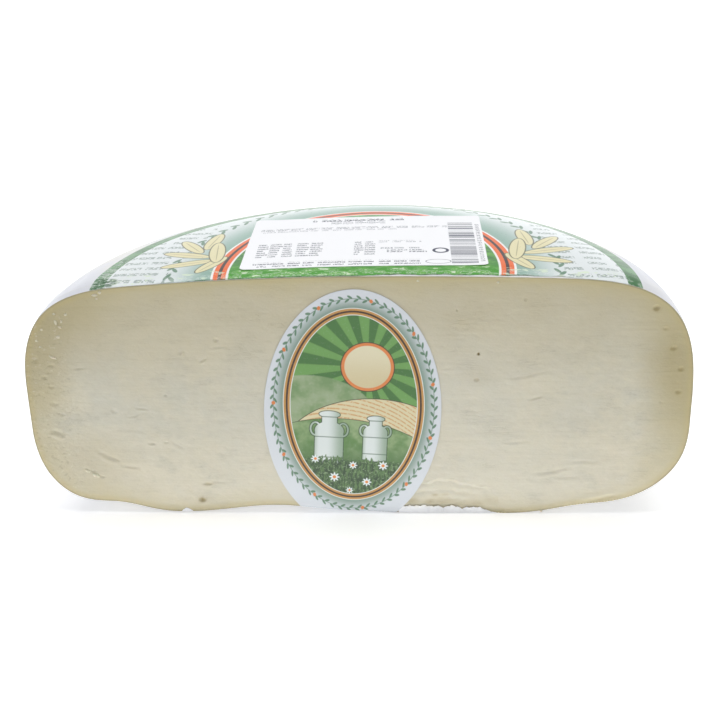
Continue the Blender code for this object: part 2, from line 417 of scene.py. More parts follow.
FOLDS = (  # x, height, half length, half width, tilt in degrees, depth, bend
    (-114.7, 34.8, 3.6, 1.25, -24.0, 0.42, 0.3),
    (-96.0, 24.6, 6.0, 1.12, -28.0, 0.29, 0.5),
    (-88.0, 20.2, 5.0, 0.88, -8.0, 0.14, 0.3),
    (-54.5, 13.4, 4.0, 0.75, -3.0, 0.13, 0.0),
    (-56.1, 65.2, 2.2, 0.62, 32.0, 0.21, 0.2),
    (-50.0, 70.0, 4.0, 0.62, 4.0, 0.14, -0.3),
    (-64.5, 68.4, 1.3, 0.75, 70.0, 0.2, 0.5),
    (-80.8, 45.0, 2.8, 0.56, -5.0, 0.17, 0.0),
    (-84.5, 42.2, 3.2, 0.62, 12.0, 0.15, 0.4),
    (-78.7, 30.3, 2.0, 0.62, 0.0, 0.21, 0.3),
    (-69.0, 29.5, 4.6, 0.88, -38.0, 0.1, 0.0),
    (67.2, 49.3, 3.8, 0.75, 16.0, 0.17, 0.3),
    (74.0, 18.6, 8.5, 1.12, 12.0, 0.2, 0.8),
    (86.0, 21.5, 8.0, 1.0, 0.0, 0.14, -0.6),
    (80.0, 15.8, 6.5, 1.0, 4.0, 0.13, 0.5),
    (64.5, 58.6, 9.0, 1.0, 13.0, 0.14, 0.5),
    (92.5, 6.0, 11.5, 1.38, 15.5, -0.29, -1.2),
    (60.0, 31.0, 7.0, 0.75, 4.0, 0.1, 0.6),
    (-103.5, 62.0, 3.0, 0.62, 8.0, 0.15, 0.2),
    (-109.3, 80.2, 1.8, 0.75, 80.0, 0.21, 0.7),
)
BROKEN = {"x": 33.5, "z": 0.5, "half_width": 21.5, "half_height": 14.8, "depth": 1.1}


def knife_waves(x, z):
    """The knife did not go quite straight."""
    return 0.10 * np.sin(x / 17.0 + 1.0) * np.sin(z / 23.0) + 0.05 * np.sin(x / 6.1 + z / 9.0)


def inside_broken(x, z):
    """How far a point is inside the broken place: 0 on its edge and outside, 1 in its middle."""
    part_x = (x - BROKEN["x"]) / BROKEN["half_width"]
    part_z = (z - BROKEN["z"]) / BROKEN["half_height"]
    angle = np.arctan2(part_z, part_x)
    wobble = 1.0
    for size, count, phase in ((0.05, 3.0, 0.5), (0.035, 8.0, 2.0), (0.02, 19.0, 0.0)):
        wobble = wobble + size * np.sin(count * angle + phase)
    return np.clip(1.0 - np.hypot(part_x, part_z) / wobble, 0.0, 1.0)


def cut_depth(x, z):
    """How far the cut lies back at each point, in metres. x and z are in millimetres."""
    depth = np.zeros_like(x)
    for eye_x, eye_z, half_width, half_height, deep in EYES:
        away = np.hypot((x - eye_x) / half_width, (z - eye_z) / half_height)
        depth = depth + deep * np.clip(1.0 - away**2, 0.0, 1.0) ** 1.5
    for fold_x, fold_z, half_length, half_width, tilt, deep, bend in FOLDS:
        angle = math.radians(tilt)
        along = ((x - fold_x) * math.cos(angle) + (z - fold_z) * math.sin(angle)) / half_length
        across = ((z - fold_z) * math.cos(angle) - (x - fold_x) * math.sin(angle)) / half_width
        across = across + bend * (1.0 - along**2) / half_width
        envelope = np.clip(1.0 - along**2, 0.0, 1.0) ** 1.5
        depth = depth + deep * envelope * 2.33 * across * np.exp(-(across**2))
    inside = inside_broken(x, z)
    shell = 0.30 * ease(inside / 0.05) + 0.10 * np.sin(inside * 24.0) * ease(inside / 0.1)
    lip = -0.16 * np.exp(-(((inside - 0.012) / 0.012) ** 2)) * (inside > 0.0)
    broken = np.where(inside > 0.0, shell + lip + BROKEN["depth"] * inside**1.25, 0.0)
    return (depth + broken + knife_waves(x, z)) * MM


PASTE_SLOT, COATING_SLOT = 0, 1
behind_cut = face_middles(cheese)[:, 1] > CUT_Y + 1e-6
for name in ("paste", "coating"):
    cheese.data.materials.append(bpy.data.materials.new(name))
slots = np.where(behind_cut, COATING_SLOT, PASTE_SLOT)
cheese.data.polygons.foreach_set("material_index", slots.astype(np.int32))


def paste_faces():
    return np.array([face.material_index == PASTE_SLOT for face in cheese.data.polygons])


def near_torn_place(middles, margin):
    x, z = middles[:, 0] / MM, middles[:, 2] / MM
    near = np.zeros(len(middles), bool)
    for place_x, place_z, half_width, half_height, *_ in EYES + FOLDS:
        near |= np.hypot(x - place_x, z - place_z) < max(half_width, half_height) + margin
    return near


def near_broken_place(middles):
    x, z = middles[:, 0] / MM - BROKEN["x"], middles[:, 2] / MM - BROKEN["z"]
    return np.hypot(x / 23.5, z / 17.0) < 1.0


def subdivide(near):
    pick(cheese, "FACE", paste_faces() & near)
    edit(lambda: bpy.ops.mesh.subdivide(number_cuts=1))


for margin in (1.6, 0.8):
    subdivide(near_torn_place(face_middles(cheese), margin))
subdivide(near_broken_place(face_middles(cheese)))

in_paste = np.zeros(len(cheese.data.vertices), bool)
for face in cheese.data.polygons:
    if face.material_index == PASTE_SLOT:
        in_paste[list(face.vertices)] = True
points = points_of(cheese)
in_paste[on_rim] = False
depth = cut_depth(points[:, 0] / MM, points[:, 2] / MM) * in_paste
points[:, 1] += depth
move_points(cheese, points)
print("paste points:", int(in_paste.sum()), "deepest:", round(float(depth.max() / MM), 2), "mm")

# %% [markdown]
# The paste has a darker, drier zone along the rim, so its finish has to know how far each point
# is from the coating. A tree of the rim's points answers that quickly, and the answer is kept on
# the mesh as an attribute, next to the depth of the torn places.

# %% Distance from the rim, kept on the mesh
rim_tree = kdtree.KDTree(len(inner_rim))
for number, corner in enumerate(inner_rim):
    rim_tree.insert(corner, number)
rim_tree.balance()
from_rim = [rim_tree.find(Vector((p[0], CUT_Y, p[2])))[2] / MM for p in points]
from_rim = np.where(in_paste, from_rim, 0.0)

STAINS = (  # x, height, half width, half height, strength
    (109.3, 84.6, 1.4, 1.3, 0.55),
    (113.0, 77.0, 1.4, 0.9, 0.28),
    (116.3, 69.0, 1.5, 1.1, 0.42),
    (119.6, 60.7, 1.3, 1.1, 0.40),
    (119.2, 51.5, 1.3, 1.1, 0.38),
    (45.9, 67.3, 0.45, 0.45, 1.30),
    (45.2, 56.8, 1.0, 0.9, 0.50),
    (46.5, 58.5, 6.0, 4.0, 0.12),
    (-61.1, 5.6, 1.5, 1.2, 0.80),
    (-58.3, 12.8, 1.8, 0.7, 0.45),
    (29.7, 7.7, 1.2, 0.6, 0.55),
    (33.5, 7.9, 1.6, 0.6, 0.35),
    (20.5, 5.0, 3.0, 1.3, 0.45),
    (28.2, 4.6, 2.2, 1.2, 0.45),
    (32.5, 4.4, 5.5, 1.7, 0.34),
    (38.6, 3.6, 2.6, 1.1, 0.36),
    (44.5, 4.0, 4.5, 1.4, 0.30),
    (50.0, 5.6, 4.0, 1.8, 0.16),
)


def stains(x, z):
    """Yellow-brown stains: small spots, and smears in the broken place."""
    stain = np.zeros_like(x)
    for spot_x, spot_z, half_width, half_height, strength in STAINS:
        away = ((x - spot_x) / half_width) ** 2 + ((z - spot_z) / half_height) ** 2
        stain = np.maximum(stain, strength * np.exp(-away))
    return stain


marks = {
    "from_rim": from_rim,
    "torn": np.clip(depth / MM, -1.0, 3.0),
    "stain": stains(points[:, 0] / MM, points[:, 2] / MM) * in_paste,
}
for name, values in marks.items():
    kept = cheese.data.attributes.new(name, "FLOAT", "POINT")
    kept.data.foreach_set("value", np.asarray(values, np.float32))
smooth(cheese)

# %% [markdown]
# ## Helpers for finishes
#
# A finish is a net of shader nodes. These helpers add a node to the tree that was begun last,
# set or link its inputs by name, and let the outputs be used in sums, so that a recipe below
# reads like arithmetic. Colours are given as they look on a screen, from 0 to 255, and are
# turned into the linear values that Blender works with.


# %% Helpers for shader nodes
def tint(red, green, blue):
    """A screen colour as linear values."""
    parts = [value / 255.0 for value in (red, green, blue)]
    linear = [((v + 0.055) / 1.055) ** 2.4 if v > 0.04045 else v / 12.92 for v in parts]
    return (*linear, 1.0)


class Signal:
    """An output of a node. A sum with it adds the Math node that works it out."""

    def __init__(self, socket):
        self.socket = socket

    def __mul__(self, other):
        return calc("MULTIPLY", self, other)

    def __add__(self, other):
        return calc("ADD", self, other)

    def __sub__(self, other):
        return calc("SUBTRACT", self, other)

    def __rsub__(self, other):
        return calc("SUBTRACT", other, self)

    def __truediv__(self, other):
        return calc("DIVIDE", self, other)

    def __rtruediv__(self, other):
        return calc("DIVIDE", other, self)

    def __abs__(self):
        return calc("ABSOLUTE", self)


def begin(new_tree):
    """From here on, nodes are added to this tree."""
    global tree
    tree = new_tree
    return tree


def begin_finish(material):
    """Begin the recipe of a material, and give back its main shader."""
    material.use_nodes = True
    return begin(material.node_tree).nodes["Principled BSDF"]


def feed(socket, value):
    if isinstance(value, Signal):
        tree.links.new(value.socket, socket)
    else:
        socket.default_value = value


def set_inputs(shader, **inputs):
    for name, value in inputs.items():
        feed(shader.inputs[name.replace("_", " ")], value)


def put(kind, settings=None, **inputs):
    """Add a node. Settings are its options, and inputs are its sockets by name."""
    added = tree.nodes.new(kind)
    for name, value in (settings or {}).items():
        setattr(added, name, value)
    set_inputs(added, **inputs)
    return added


def node(kind, output=0, settings=None, **inputs):
    """Add a node, and give back one of its outputs."""
    return Signal(put(kind, settings, **inputs).outputs[output])


def calc(operation, *values, clamp=False):
    added = put("ShaderNodeMath", {"operation": operation, "use_clamp": clamp})
    for socket, value in zip(added.inputs, values):
        feed(socket, value)
    return Signal(added.outputs[0])


def times_plus(value, factor, plus):
    return calc("MULTIPLY_ADD", value, factor, plus)


def length_of(x, y):
    return calc("SQRT", times_plus(x, x, y * y))


def axes_of(vector):
    return [Signal(part) for part in put("ShaderNodeSeparateXYZ", Vector=vector).outputs]


def join(x, y):
    return node("ShaderNodeCombineXYZ", X=x, Y=y)


def object_place():
    return node("ShaderNodeTexCoord", "Object")


def blend(mask, under, over):
    """The colour over, where the mask is 1, and the colour under, where it is 0."""
    added = put("ShaderNodeMix", {"data_type": "RGBA"})
    colours = [colour if isinstance(colour, Signal) else tint(*colour) for colour in (under, over)]
    for number, value in zip((0, 6, 7), (mask, *colours)):
        feed(added.inputs[number], value)
    return Signal(added.outputs[2])


def layered(colour, *layers):
    """Lay colours over one another. Each layer is a mask and a colour."""
    for mask, over in layers:
        colour = blend(mask, colour, over)
    return colour


def ramp(value, low, high):
    """0 where the value is below low, and 1 where it is above high."""
    easy = {"interpolation_type": "SMOOTHSTEP"}
    return node("ShaderNodeMapRange", "Result", easy, Value=value, From_Min=low, From_Max=high)


def place_vector(vector, location=(0, 0, 0), turn=(0, 0, 0), scale=(1, 1, 1)):
    places = {"Location": location, "Rotation": turn, "Scale": scale}
    return node("ShaderNodeMapping", "Vector", Vector=vector, **places)


def speckle(vector, scale, detail=2.0, roughness=0.5, **placing):
    """Smooth noise from 0 to 1. A scale of three numbers stretches it along the axes."""
    if isinstance(scale, tuple):
        vector, scale = place_vector(vector, scale=scale, **placing), 1.0
    sizes = {"Scale": scale, "Detail": detail, "Roughness": roughness}
    return node("ShaderNodeTexNoise", "Fac", Vector=vector, **sizes)


def relief_of(*layers):
    """A normal from layers of relief. Each is a height from 0 to 1, and its depth in mm."""
    below = {}
    for height, depth in layers:
        sizes = {"Height": height, "Strength": 1.0, "Distance": depth * MM}
        below = {"Normal": node("ShaderNodeBump", "Normal", **sizes, **below)}
    return below["Normal"]


def new_group(name, inputs, output):
    """A shader node group. Inputs are names with values, and a value of None is a vector."""
    group = begin(bpy.data.node_groups.new(name, "ShaderNodeTree"))
    for label, value in inputs.items():
        kind = "NodeSocketVector" if value is None else "NodeSocketFloat"
        made = group.interface.new_socket(label, in_out="INPUT", socket_type=kind)
        if value is not None:
            made.default_value = value
    group.interface.new_socket(output, in_out="OUTPUT", socket_type="NodeSocketFloat")
    given = {socket.name: Signal(socket) for socket in put("NodeGroupInput").outputs}
    return group, given, put("NodeGroupOutput").inputs[output]


def use_group(group, **inputs):
    return node("ShaderNodeGroup", 0, {"node_tree": group}, **inputs)


# %% [markdown]
# Five small effects come back in several finishes, so each is a node group: the fine grain of
# paste and coating, the distance to an oval, the distance to a box, the clean edge that turns a
# distance into a printed shape, and rows of small marks. Print is drawn with distances, because
# then every edge stays equally sharp, and a line is just the places where the distance is small.

# %% Node groups
fine_grain, given, out = new_group("fine_grain", {"Vector": None, "Size": 1.0}, "Height")
finer = 1000.0 / given["Size"]
coarse_part = speckle(given["Vector"], finer, 3.0, 0.6)
finest_part = speckle(given["Vector"], finer * 4.3, 1.0)
feed(out, times_plus(finest_part, 0.3, coarse_part))


def new_distance_group(name):
    """A group that centres and turns its vector, with the two sizes still free."""
    sizes = {"X": 0.0, "Y": 0.0, "Half Width": 1.0, "Half Height": 1.0, "Turn": 0.0}
    group, given, out = new_group(name, {"Vector": None, **sizes}, "Distance")
    moved = put("ShaderNodeVectorMath", {"operation": "SUBTRACT"}, Vector=given["Vector"])
    feed(moved.inputs[1], join(given["X"], given["Y"]))
    turned = node(
        "ShaderNodeVectorRotate",
        0,
        {"rotation_type": "Z_AXIS"},
        Vector=Signal(moved.outputs[0]),
        Angle=given["Turn"] * (-math.pi / 180.0),
    )
    across, up, _ = axes_of(turned)
    return group, across, up, given["Half Width"], given["Half Height"], out


oval_distance, across, up, half_width, half_height, out = new_distance_group("oval_distance")
part_x, part_y = across / half_width, up / half_height
size = length_of(part_x, part_y)
steep = length_of(part_x / half_width, part_y / half_height)
feed(out, size * (size - 1.0) / calc("MAXIMUM", steep, 0.0001))

box_distance, across, up, half_width, half_height, out = new_distance_group("box_distance")
feed(out, calc("MAXIMUM", abs(across) - half_width, abs(up) - half_height))

ink_edge, given, out = new_group("ink_edge", {"Distance": 0.0, "Softness": 0.15}, "Mask")
feed(out, calc("SUBTRACT", 0.5, given["Distance"] / given["Softness"], clamp=True))


def distance_to(group, vector, x, y, half_width, half_height, turn=0.0):
    """How far each place is outside a shape, given by its middle, half sizes and turn."""
    sizes = {"Half_Width": half_width, "Half_Height": half_height}
    return use_group(group, Vector=vector, X=x, Y=y, Turn=turn, **sizes)


def oval(*place):
    return distance_to(oval_distance, *place)


def box(*place):
    return distance_to(box_distance, *place)


def inked(distance, softness=0.15):
    return use_group(ink_edge, Distance=distance, Softness=softness)


def line(distance, half_width, softness=0.15):
    """The places that are less than half_width away from an outline."""
    return inked(abs(distance) - half_width, softness)


# %% [markdown]
# More helpers serve the print. One counts a value anew from the middle of every step, so that
# a leaf drawn once comes back all along a line. Another makes rows of tiny marks that read as
# small print from a distance, but spell nothing.


# %% Helpers for print
def repeated(value, pitch):
    return (calc("FRACT", value / pitch) - 0.5) * pitch


def either(*distances):
    """The outline round several shapes together."""
    nearest = distances[0]
    for distance in distances[1:]:
        nearest = calc("MINIMUM", nearest, distance)
    return nearest


MARKS_IN_GROUP = 6.0
sizes = {"Vector": None, "Pitch": 3.0, "Tall": 1.4}
small_marks, given, out = new_group("small_marks", sizes, "Mask")
along, up, _ = axes_of(given["Vector"])
tall = given["Tall"]
row = calc("FLOOR", up / given["Pitch"])
over_row = abs(repeated(up, given["Pitch"])) - tall / 2.0
mark = along / tall * 1.5
group_and_row = join(calc("FLOOR", mark / MARKS_IN_GROUP), row)
on_plane = {"noise_dimensions": "2D"}
chance = node("ShaderNodeTexWhiteNoise", "Value", on_plane, Vector=group_and_row)
in_group = calc("FRACT", mark / MARKS_IN_GROUP) * MARKS_IN_GROUP
spelled = calc("LESS_THAN", in_group, times_plus(chance, 2.6, 3.3))
strokes = speckle(join(mark, up / tall * 1.3), 1.7, 1.0)
feed(out, inked(over_row, 0.25) * spelled * ramp(strokes, 0.44, 0.50))


def rows_of_marks(vector, area, pitch, tall, turn=0.0, shift=0.0):
    """Small marks inside an area, given by its middle and half sizes."""
    turned = place_vector(vector, (0, shift, 0), (0, 0, math.radians(-turn)))
    marks = use_group(small_marks, Vector=turned, Pitch=pitch, Tall=tall)
    return marks * inked(box(vector, *area, turn))


# %% [markdown]
# ## Paste
#
# Young goat cheese is pale ivory, a little grey in the middle, with an olive rim where it dried
# under the coating. Painted light makes the paste lighter below and across the middle, and painted
# shade makes its upper part darker. The knife dragged fine level lines across it. The paste lets
# some light in, so a little subsurface scattering softens its small relief.

# %% Paste
shader = begin_finish(cheese.data.materials[PASTE_SLOT])
where = object_place()
rim_value, torn_value, stain_value = (
    node("ShaderNodeAttribute", "Fac", {"attribute_name": name}) for name in marks
)
side, _, level = axes_of(where)

clouds = speckle(where, 34.0, 4.0, 0.6)
patches = speckle(where, (62.0, 62.0, 105.0), 4.0, 0.62, location=(0.3, 0.1, 0.2))
mottle = speckle(where, (260.0, 260.0, 520.0), 3.0, 0.6)
lines = speckle(where, (26.0, 26.0, 620.0), 4.0, 0.6)
long_lines = speckle(where, (9.0, 9.0, 150.0), 2.0, 0.5)
dragged = speckle(where, (95.0, 95.0, 560.0), 3.0, 0.6, turn=(0.0, 0.05, 0.0))
grain = use_group(fine_grain, Vector=where, Size=0.9)
creases = ramp(abs(dragged - 0.5), 0.026, 0.004) * ramp(patches, 0.48, 0.68)

# Painted shade makes the upper part darker, on top of its own yellower tone. The left side is
# darker too, but not at half height.
upper = calc("MULTIPLY", ramp(level, 0.046, 0.092), times_plus(patches, 0.6, 0.45), clamp=True)
left_side = ramp(side, -0.076, -0.108) * 0.50
off_middle = ramp(abs(level - 0.048), 0.006, 0.024)
cream = layered(
    blend(ramp(clouds, 0.36, 0.64), (213, 207, 186), (207, 204, 188)),
    # Painted light: lighter towards the bottom, where the floor lights the cut.
    (ramp(level, 0.050, 0.008) * 0.60, (218, 212, 194)),
    (ramp(patches, 0.50, 0.68) * 0.38, (192, 190, 176)),
    (ramp(patches, 0.46, 0.32) * 0.30, (222, 215, 194)),
    (ramp(lines, 0.50, 0.72) * 0.16, (190, 185, 164)),
    (ramp(mottle, 0.50, 0.72) * 0.16, (184, 180, 162)),
    (ramp(mottle, 0.48, 0.30) * 0.14, (232, 228, 214)),
    (creases * 0.09, (158, 152, 126)),
    # Painted light: lighter across the middle of the cut.
    (ramp(abs(side - 0.012), 0.085, 0.030) * 0.42, (222, 218, 202)),
    (upper, (197, 188, 159)),
    (left_side * off_middle, (190, 181, 153)),
)

# The rim dried most at the top corners and on the right, and hardly at the bottom.
high = ramp(level, 0.006, 0.075)
corner = ramp(abs(side), 0.070, 0.118) * high
right_side = ramp(side, 0.095, 0.118) * ramp(level, 0.004, 0.030)
paler = times_plus(ramp(level, 0.064, 0.084), -0.60, 1.0)
corner = corner - corner * ramp(side, 0.060, 0.100) * (1.0 - paler)
right_side = right_side * paler
reach = times_plus(right_side, 9.0, times_plus(corner, 9.5, 6.0))
wander = times_plus(patches, 5.0, times_plus(clouds, 15.0, -7.5) - 2.5)
rim_share = 1.0 - ramp((rim_value + wander) / reach, -0.1, 1.7)
rim_strength = times_plus(high, 0.42, times_plus(corner, 0.18, 0.38))
rim_strength = times_plus(right_side, 0.28, rim_strength)
rim_strength = calc("MULTIPLY", rim_share, rim_strength, clamp=True)

# Crumbly, lighter and darker specks lie along the left rim.
left_rim = ramp(side, -0.098, -0.113) * ramp(level, 0.090, 0.078)
crumbly = speckle(where, (420.0, 420.0, 560.0), 3.0, 0.6)
stained = calc("MULTIPLY", stain_value, times_plus(mottle, 0.9, 0.35), clamp=True)
coloured = layered(
    cream,
    (rim_strength, blend(corner, (200, 190, 153), (182, 171, 134))),
    (ramp(rim_value, 3.2, 0.2) * 0.45, (196, 182, 130)),
    (ramp(crumbly, 0.58, 0.68) * left_rim * 0.30, (226, 221, 204)),
    (ramp(crumbly, 0.42, 0.33) * left_rim * 0.30, (146, 137, 108)),
    (ramp(torn_value, 0.30, 1.8) * 0.22, (214, 202, 164)),
    (stained, (160, 140, 82)),
    # Painted shade: a thin dark line on the coating's edge round the cut and just inside it.
    (ramp(rim_value, 0.40, 0.02) * 0.55, (150, 145, 122)),
)
relief = relief_of(
    (long_lines, 0.25),
    (lines, 0.12),
    (patches, 0.45),
    (mottle, 0.16),
    (creases * -1.0, 0.05),
    (crumbly * left_rim, 0.40),
    (grain, 0.05),
)
set_inputs(
    shader,
    Base_Color=coloured,
    Roughness=times_plus(ramp(long_lines, 0.35, 0.65), 0.16, 0.42),
    Subsurface_Weight=0.20,
    Subsurface_Radius=(1.0, 0.75, 0.45),
    Subsurface_Scale=0.0018,
    Specular_IOR_Level=0.35,
    Normal=relief,
)

# %% [markdown]
# ## Coating
#
# The coating is a thin film of white plastic paint, brushed on in several coats. It is white
# with a cool cast, half glossy, and faintly uneven, and it carries the light net of the cheese
# cloth that lined the mould.

# %% Coating
THREADS_APART = 1.25 * MM

shader = begin_finish(cheese.data.materials[COATING_SLOT])
where = object_place()
x, y, level = axes_of(where)
around = calc("ARCTAN2", y - CUT_Y, x) * RADIUS
clouds = speckle(where, 22.0, 3.0, 0.5)
wavy_level = level + times_plus(clouds, 0.004, -0.002)
wrapped = join(around, wavy_level)
brushed = speckle(wrapped, (24.0, 520.0, 0.0), 4.0, 0.6)
runs = speckle(wrapped, (240.0, 30.0, 0.0), 3.0, 0.55, location=(3.0, 1.0, 0.0))
grain = use_group(fine_grain, Vector=where, Size=1.6)
waves = [calc("SINE", along * (2.0 * math.pi / THREADS_APART)) for along in (around, wavy_level)]
on_side = ramp(level, 0.006, 0.024) * ramp(level, 0.090, 0.070)
cloth = calc("MAXIMUM", *waves) * ramp(clouds, 0.40, 0.60) * on_side
scuffs = ramp(brushed, 0.62, 0.78) * ramp(clouds, 0.52, 0.62)
pores = ramp(speckle(where, 640.0), 0.71, 0.76)
soiled = ramp(times_plus(runs, 0.012, level), 0.018, 0.004)

white = layered(
    blend(ramp(clouds, 0.35, 0.65), (216, 218, 226), (228, 227, 223)),
    (ramp(brushed, 0.42, 0.28) * 0.45, (237, 238, 240)),
    (ramp(runs, 0.56, 0.74) * 0.40, (208, 205, 192)),
    (cloth * 0.22, (196, 198, 203)),
    (scuffs * 0.45, (188, 184, 172)),
    (pores * 0.35, (178, 174, 160)),
    (soiled * 0.30, (208, 202, 184)),
)
relief = relief_of(
    (clouds, 0.60),
    (runs, 0.14),
    (brushed, 0.09),
    (cloth, 0.05),
    (pores * -1.0, 0.10),
    (grain, 0.05),
)
roughness = times_plus(scuffs, 0.20, times_plus(brushed, 0.22, 0.22))
set_inputs(shader, Base_Color=white, Roughness=roughness, Normal=relief)

# %% [markdown]
# ## Torn coating and crumbs
#
# Where the paste broke away, the coating of the underside stayed, and stands up as a thin torn
# film. Its upper edge is scalloped. A strip of grid makes it: the columns get the height of the
# tear there, and the rows lean back onto the broken paste. A second small flake stands on the
# left.


# %% Torn film along the bottom edge
def torn_film(name, places, heights, columns):
    """A strip from the first place to the last, as high as the tear at each."""
    bpy.ops.mesh.primitive_grid_add(x_subdivisions=columns, y_subdivisions=8, size=2.0)
    film = bpy.context.object
    film.name = name
    flat = points_of(film)
    x = np.interp(flat[:, 0], (-1.0, 1.0), (places[0], places[-1]))
    ragged = 1.0 + 0.07 * np.sin(x * 2.3) + 0.04 * np.sin(x * 5.1 + 1.0)
    share = (flat[:, 1] + 1.0) / 2.0
    foot = edge_lift(x * MM, np.zeros_like(x))
    z = foot + np.interp(x, places, heights) * ragged * share * MM
    ground = cut_depth(x, z / MM) * 0.8 - 0.16 * MM
    back = ease(share) * np.maximum(ground, 0.0) - (0.10 + 0.08 * share * np.sin(x * 0.9)) * MM
    move_points(film, np.column_stack([x * MM, CUT_Y + back, z]))
    apply_modifier(film, "SOLIDIFY", thickness=0.14 * MM, offset=0.0)
    film.data.materials.append(film_finish_painted_light)
    face_normals_out(film)
    smooth(film)
    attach(film, "root")


# Painted light: the film is the same white coating, but its finish is made much whiter than the
# coating's, against the shade it gets in its recess.
film_finish_painted_light = bpy.data.materials.new("torn_film")
shader = begin_finish(film_finish_painted_light)
where = object_place()
height = axes_of(where)[2]
strands = speckle(where, (620.0, 620.0, 210.0), 3.0, 0.6)
white = blend(ramp(strands, 0.50, 0.72) * 0.35, (251, 252, 255), (226, 227, 231))
soiled = ramp(height, 2.0 * MM, 3.4 * MM) * ramp(strands, 0.36, 0.56)
set_inputs(
    shader,
    Base_Color=blend(soiled * 0.5, white, (243, 236, 210)),
    Roughness=times_plus(strands, 0.20, 0.30),
    Normal=relief_of((strands, 0.08)),
)

TEAR = (  # the places along the edge, then the height at each, in millimetres
    (15.5, 18.0, 22.0, 25.5, 28.2, 30.0, 31.6, 33.0, 34.4)
    + (36.2, 38.2, 40.0, 41.8, 44.5, 46.8, 48.3, 50.8, 54.0),
    (2.2, 2.9, 3.1, 3.2, 2.8, 2.9, 2.7, 1.8, 2.7, 3.1, 2.6, 1.7, 2.3, 2.5, 2.5, 1.7, 0.9, 0.05),
)
FLAKE = ((-69.7, -68.6, -67.2, -66.0, -65.0), (0.1, 1.3, 1.7, 1.1, 0.1))
torn_film("torn_coating", *TEAR, 150)
torn_film("torn_flake", *FLAKE, 30)

# %% [markdown]
# Dry crumbs stick to the cut near its left corners, and a few elsewhere. Each is an icosphere,
# pressed flat, made uneven with noise, and sunk halfway into the paste.

# %% Crumbs
CRUMBS = (  # x, height, half length, half height, tilt
    (-110.0, 84.3, 0.55, 0.45, 0.0),
    (-105.7, 84.1, 0.60, 0.50, 30.0),
    (-115.5, 78.1, 0.45, 0.40, 0.0),
    (-109.6, 75.1, 0.70, 0.60, 10.0),
    (-112.8, 66.9, 1.60, 0.45, -26.0),
    (-118.0, 73.6, 0.45, 0.40, 0.0),
    (-116.9, 71.2, 0.40, 0.35, 0.0),
    (-109.9, 81.0, 0.50, 0.95, 12.0),
    (-108.4, 79.1, 0.80, 0.40, -10.0),
    (-107.6, 81.4, 0.40, 0.70, -8.0),
    (-94.0, 91.6, 1.10, 0.50, 4.0),
    (-92.0, 92.6, 0.60, 0.60, 0.0),
    (-93.4, 90.2, 0.50, 0.40, 20.0),
    (-105.0, 18.6, 1.20, 0.65, -28.0),
    (-101.9, 16.6, 1.50, 0.75, -22.0),
    (52.6, 95.2, 0.55, 0.45, 0.0),
    (24.0, 96.1, 0.50, 0.40, 0.0),
    (70.5, 1.2, 0.60, 0.45, 0.0),
)
CRUMB_HALF_DEPTH = 0.32
crumbs = []
for crumb_x, crumb_z, half_length, half_height, tilt in CRUMBS:
    bpy.ops.mesh.primitive_ico_sphere_add(subdivisions=3, radius=1.0)
    crumb = bpy.context.object
    ball_points = points_of(crumb)
    seat = np.array([crumb_x, 0.0, crumb_z]) * MM
    rough = np.array([noise.noise(Vector(p) * 1.6 + Vector(seat) * 900.0) for p in ball_points])
    uneven = ball_points * (1.0 + 0.45 * rough[:, None])
    shape = uneven * [half_length, CRUMB_HALF_DEPTH, half_height]
    angle = math.radians(tilt)
    along = shape[:, 0] * math.cos(angle) - shape[:, 2] * math.sin(angle)
    up = shape[:, 0] * math.sin(angle) + shape[:, 2] * math.cos(angle)
    ground = cut_depth(np.array([crumb_x]), np.array([crumb_z]))[0] + CUT_Y
    move_points(crumb, np.column_stack([along, shape[:, 1], up]) * MM + seat + [0.0, ground, 0.0])
    crumbs.append(crumb)
only(crumbs[0])
for crumb in crumbs[1:]:
    crumb.select_set(True)
bpy.ops.object.join()
crumbs = bpy.context.object
crumbs.name = "dry_crumbs"
crumbs.data.materials.append(bpy.data.materials.new("dry_crumb"))
only(crumbs)
bpy.ops.object.shade_smooth()
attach(crumbs, "root")

shader = begin_finish(crumbs.data.materials[0])
spots = speckle(object_place(), 900.0, 3.0, 0.6)
set_inputs(
    shader,
    Base_Color=blend(ramp(spots, 0.35, 0.65), (222, 216, 194), (204, 198, 174)),
    Roughness=times_plus(spots, 0.2, 0.5),
    Subsurface_Weight=0.15,
    Subsurface_Scale=0.001,
    Normal=relief_of((spots, 0.10)),
)

# %% [markdown]
# ## Laying a sheet on the cheese
#
# All three labels are thin sheets. Each is modelled flat as a grid, because print is flat too,
# and then laid down: Shrinkwrap drops the round label onto the cheese and the sticker onto the
# round label, the oval label is placed point by point, and Solidify gives each its thickness.
# Each sheet keeps its flat layout as a UV map, in which 1 stands for 200 mm.

# %% Helpers for sheets
UV_SPAN = 200.0 * MM
DROP_FROM = 150.0 * MM


def flat_grid(name, columns, rows):
    """A grid from -1 to 1, with the values of its points."""
    bpy.ops.mesh.primitive_grid_add(x_subdivisions=columns, y_subdivisions=rows, size=2.0)
    sheet = bpy.context.object
    sheet.name = name
    grid = points_of(sheet)
    return sheet, grid[:, 0].copy(), grid[:, 1].copy()


def keep_layout(sheet, across, up):
    """Write each point's place in the flat print into the UV map."""
    corner_points = np.empty(len(sheet.data.loops), int)
    sheet.data.loops.foreach_get("vertex_index", corner_points)
    flat = np.column_stack([across[corner_points], up[corner_points]]) / UV_SPAN + 0.5
    sheet.data.uv_layers[0].data.foreach_set("uv", flat.astype(np.float32).ravel())


